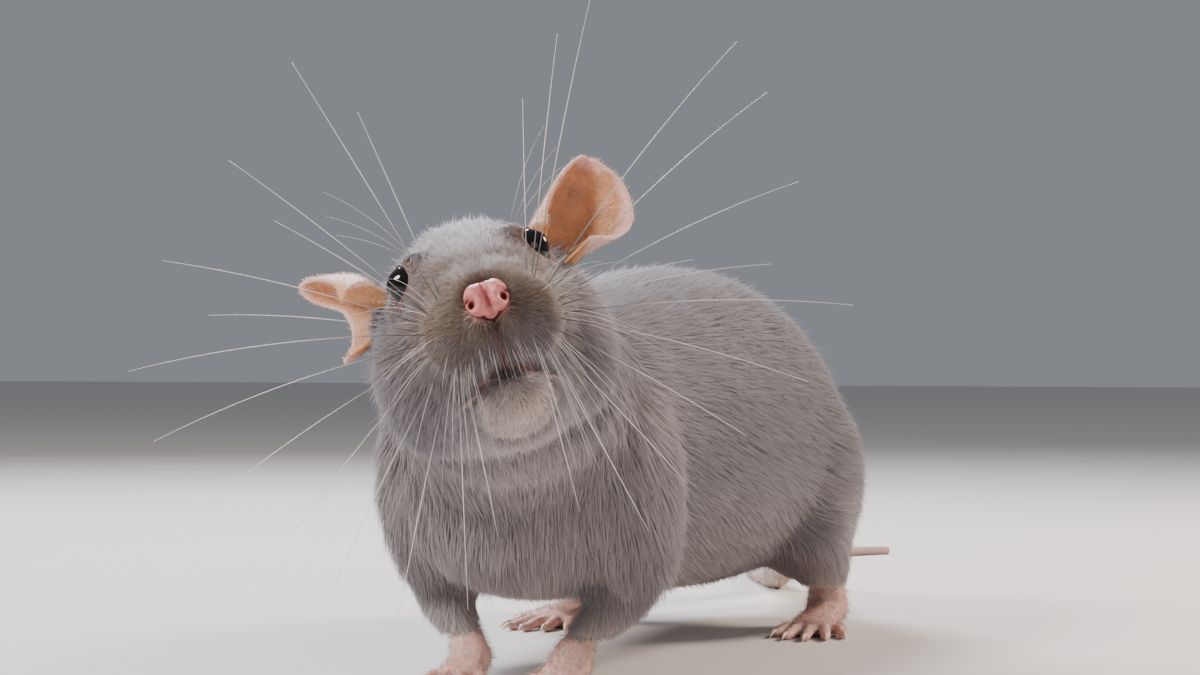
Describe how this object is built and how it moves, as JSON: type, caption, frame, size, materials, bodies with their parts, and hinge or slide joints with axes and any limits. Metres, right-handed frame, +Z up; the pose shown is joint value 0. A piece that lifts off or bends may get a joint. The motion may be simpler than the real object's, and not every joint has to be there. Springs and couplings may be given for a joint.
{
  "type": "standing rat still model",
  "caption": "Life-size still model of a grey fancy rat that stands with its head raised and tilted, whiskers spread, long tail laid behind.",
  "frame": {"origin": "middle of the bounding box, at the height of the soles", "axes": "+Z up, the rat faces -Y, its left side is +X"},
  "size_m": [0.105, 0.3936, 0.1149],
  "materials": {
    "coat": "short dense silver-grey fur, warmer on the muzzle",
    "nose_skin": "bare pink moist skin",
    "eyes": "glossy black",
    "ear_skin": "thin pink skin that lets light through",
    "paw_skin": "bare pinkish skin with fine hair",
    "tail_skin": "fine rings of scales with short hair"
  },
  "bodies": {
    "root": {"head": "coat", "muzzle": "coat", "lower_jaw": "coat", "nose": "nose_skin", "eye_left": "eyes", "eye_right": "eyes", "ear_left": "ear_skin", "ear_right": "ear_skin", "neck": "coat", "chest": "coat", "abdomen": "coat", "rump": "coat", "upper_arm_left": "coat", "upper_arm_right": "coat", "forearm_left": "coat", "forearm_right": "coat", "forepaw_left": "paw_skin", "forepaw_right": "paw_skin", "thigh_left": "coat", "thigh_right": "coat", "shank_left": "coat", "shank_right": "coat", "hind_foot_left": "paw_skin", "hind_foot_right": "paw_skin", "tail_base": "tail_skin", "tail_front": "tail_skin", "tail_middle": "tail_skin", "tail_tip": "tail_skin"}
  },
  "joints": []
}
